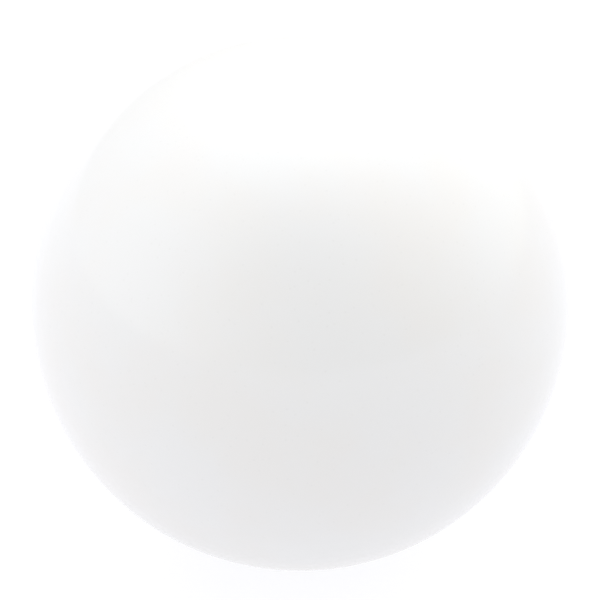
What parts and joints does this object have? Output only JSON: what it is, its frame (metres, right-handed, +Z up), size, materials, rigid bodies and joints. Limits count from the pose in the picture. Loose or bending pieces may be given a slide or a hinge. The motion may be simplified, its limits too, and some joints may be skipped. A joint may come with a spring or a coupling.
{
  "type": "cue ball",
  "caption": "Plain white solid sphere with a polished surface, struck by a cue to drive the other balls on a pool table.",
  "frame": {"origin": "centre of the ball", "axes": "+Z up, +X to the right and +Y away from the viewer; the ball is the same in every direction, so the axes only fix how it is stored"},
  "size_m": [0.0572, 0.0572, 0.0572],
  "materials": {
    "white_resin": "polished"
  },
  "bodies": {
    "root": {"ball": "white_resin"}
  },
  "joints": []
}
